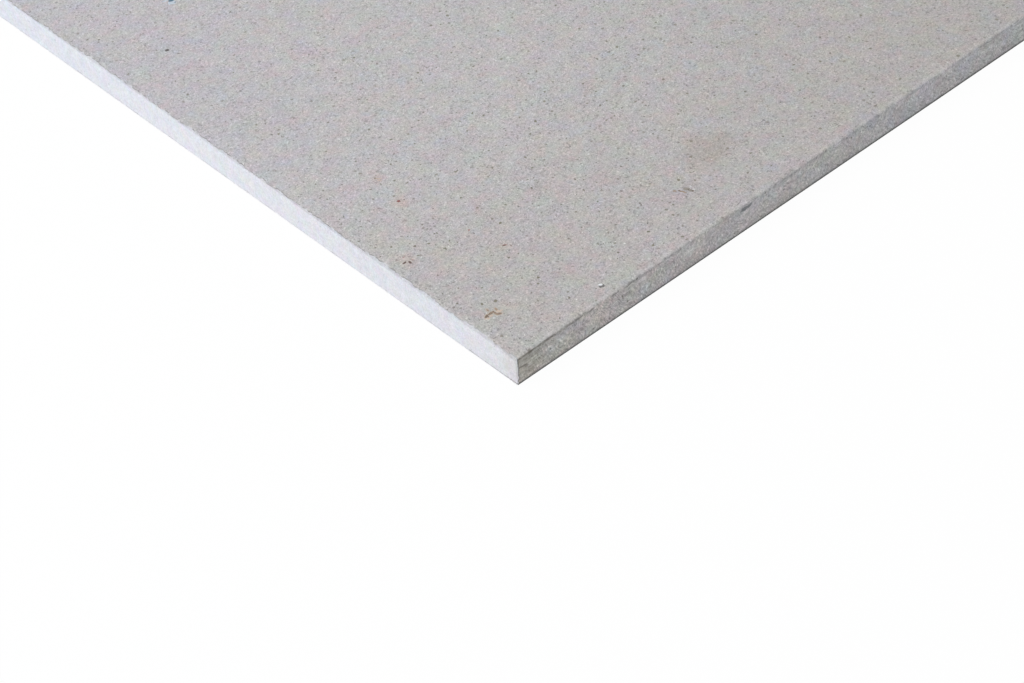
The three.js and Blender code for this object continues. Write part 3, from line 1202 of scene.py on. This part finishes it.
# the side of the back paper is painted dark, as the shade where the sheet meets the floor
back_side_shade = torn_rim("back_paper_side_shade", (0.19, 0.185, 0.185), (0.32, 0.31, 0.31), dust=0.35, white_foot=0)

back_liner = Finish("back_paper", roughness=0.93)
grain = fibre_grain(back_liner)
recycled_grey(back_liner, (0.40, 0.375, 0.355), (0.37, 0.35, 0.335))
back_liner.tint(1.0, grain)
dark_flecks, strength, _ = flecks(back_liner, 2.2, 0.08, 0.45, seed=51)
back_liner.over(0.6 * dark_flecks * strength, (0.11, 0.10, 0.10))
back_liner.paint()
back_liner.relief(grain, 0.03)
back_liner.report()

# %% Finish the cut gypsum
gypsum = Finish("cut_gypsum", roughness=0.95)
mottle = gypsum.noise(6.5, detail=2.0, seed=61)
powder = gypsum.noise(0.7, detail=1.5, seed=62)
grit = gypsum.noise(1.3, detail=1.0, seed=65)
clots = gypsum.noise(2.4, detail=1.0, seed=63)
gypsum.colour = gypsum.mix(mottle, (0.838, 0.812, 0.872), (0.800, 0.800, 0.868))
for share, size, detail, seed in ((0.27, 5.0, 1.5, 66), (0.13, 1.1, 1.0, 68)):
    tints = gypsum.noise(size, detail=detail, seed=seed, output="Color")
    gypsum.over(share, gypsum.mix(0.5, tints, grey(1), "SCREEN"))
gypsum.tint(1.0, 1.022 + 0.42 * (powder - 0.5) + 0.16 * (grit - 0.5) + 0.20 * (clots - 0.5))
pores, strength, _ = flecks(gypsum, 1.6, 0.08, 0.40, seed=64)
gypsum.over(pores * strength, (0.36, 0.36, 0.40))

inset, height = before_knock(gypsum)
# painted shade: the cut gypsum is darker and cooler further from the long edge
gypsum.tint(inset.between(120, 320), (0.955, 0.972, 0.99))
gypsum.tint(inset.between(25, 5), (1.0, 0.988, 0.972))
dusty = inset.between(9, 4) * (0.45 + 0.55 * height.between(1.5, 5.0))
gypsum.tint(dusty, (0.935, 0.92, 0.90))
uneven = 0.55 + 0.9 * (gypsum.noise(1.8, detail=2.0, seed=67) - 0.5)
# a ragged band of the gypsum just below the paper is darker
darker_below_paper = height.between(face_level - 1.4, face_level - 0.45) * uneven
gypsum.tint(darker_below_paper, (0.66, 0.64, 0.65))
gypsum.paint()
gypsum.relief(powder - 0.6 * pores, 0.05)
gypsum.report()

# %% Finish the flakes and hairs
def scrap(name, one, other):
    """A flat matt colour that differs a little from one flake to the next."""
    finish = Finish(name, roughness=0.9)
    own = finish.add("ShaderNodeNewGeometry", output="Random Per Island")
    finish.colour = finish.mix(own, one, other)
    finish.tint(1.0, 0.85 + 0.3 * finish.noise(0.3, detail=1.0, seed=71))
    finish.paint()
    return finish.material


flake_materials = [scrap(f"{kind}_flake", *shades) for kind, shades in flake_colours.items()]
print(f"{len(flake_materials)} finishes for flakes")

# %% [markdown]
# ## Make the pieces
#
# Each skin becomes an object, stands in for the plain solid it was modelled on and rides on the sheet's
# only body.

# %% Turn the skins into pieces
def stand_in(skin, name, materials, node):
    piece = skin.make(name, materials)
    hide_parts(node)
    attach(piece, "root")


stand_in(paper, "face_liner", [liner.material, face_rim], "face_paper")
stand_in(core, "gypsum", [gypsum.material], "gypsum_core")
flake_piece = flakes.make("pressed_flakes", flake_materials)
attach(flake_piece, "root")
stand_in(back, "backing", [back_liner.material, back_rim, back_side_shade], "back_paper")
